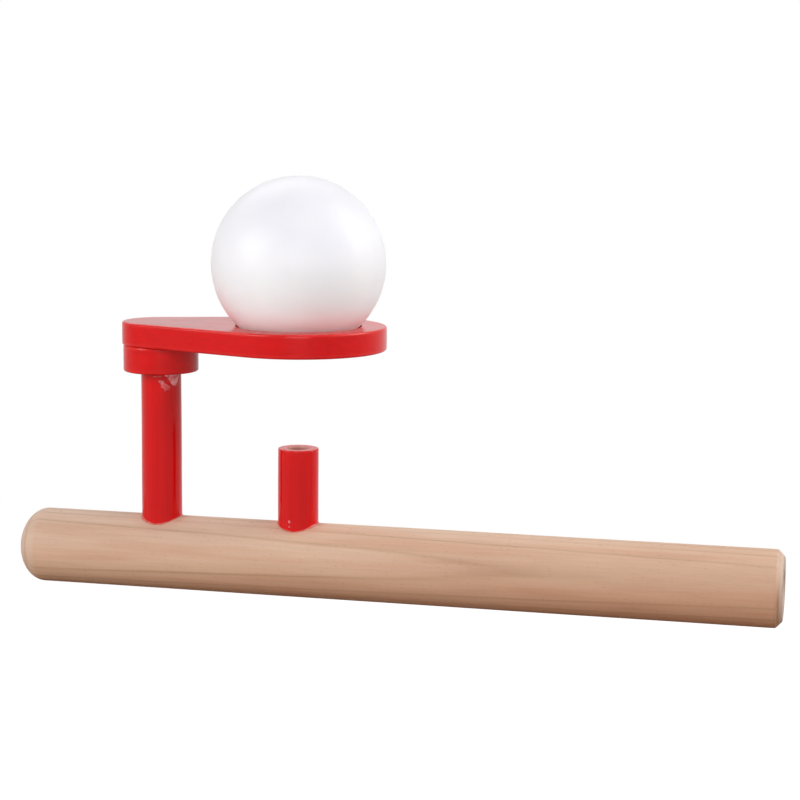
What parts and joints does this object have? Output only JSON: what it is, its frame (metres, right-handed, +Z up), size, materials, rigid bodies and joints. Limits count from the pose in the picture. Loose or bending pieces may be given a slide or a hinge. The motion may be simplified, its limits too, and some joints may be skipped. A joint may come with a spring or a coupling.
{
  "type": "blow ball pipe toy",
  "caption": "Wooden blow pipe toy: an upright air nozzle sends a jet under a light hollow ball, which floats over a ring-shaped rest carried on a post.",
  "frame": {"origin": "on the pipe's axis, in the middle of the bare stretch between the nozzle and the mouth end, where a hand holds the pipe", "axes": "+X along the pipe to the mouth end, +Z up along the post and the nozzle, Y across; the toy is symmetric about the XZ plane"},
  "size_m": [0.18, 0.0406, 0.0979],
  "materials": {
    "bare_beech": "bare fine-sanded beech, fine flecks along the grain",
    "red_lacquer": "beech dipped in opaque red lacquer, satin to gloss, grain faintly telegraphing",
    "white_plastic": "thin moulded white plastic, soft gloss, faintly translucent",
    "clear_glue": "dried clear wood glue, glossy, tinted by the lacquer under it"
  },
  "bodies": {
    "pipe": {"pipe_body": "bare_beech", "post": "red_lacquer", "collar": "red_lacquer", "ball_plate": "red_lacquer", "nozzle": "red_lacquer", "collar_glue_bead": "clear_glue", "post_glue_bead": "clear_glue", "nozzle_glue_bead": "clear_glue"},
    "ball": {"ball_lower_shell": "white_plastic", "ball_upper_shell": "white_plastic"}
  },
  "joints": [
    {"name": "ball_lift", "type": "slide", "parent": "pipe", "child": "ball", "axis": [0, 0, 1], "range_m": [0, 0.06]}
  ]
}
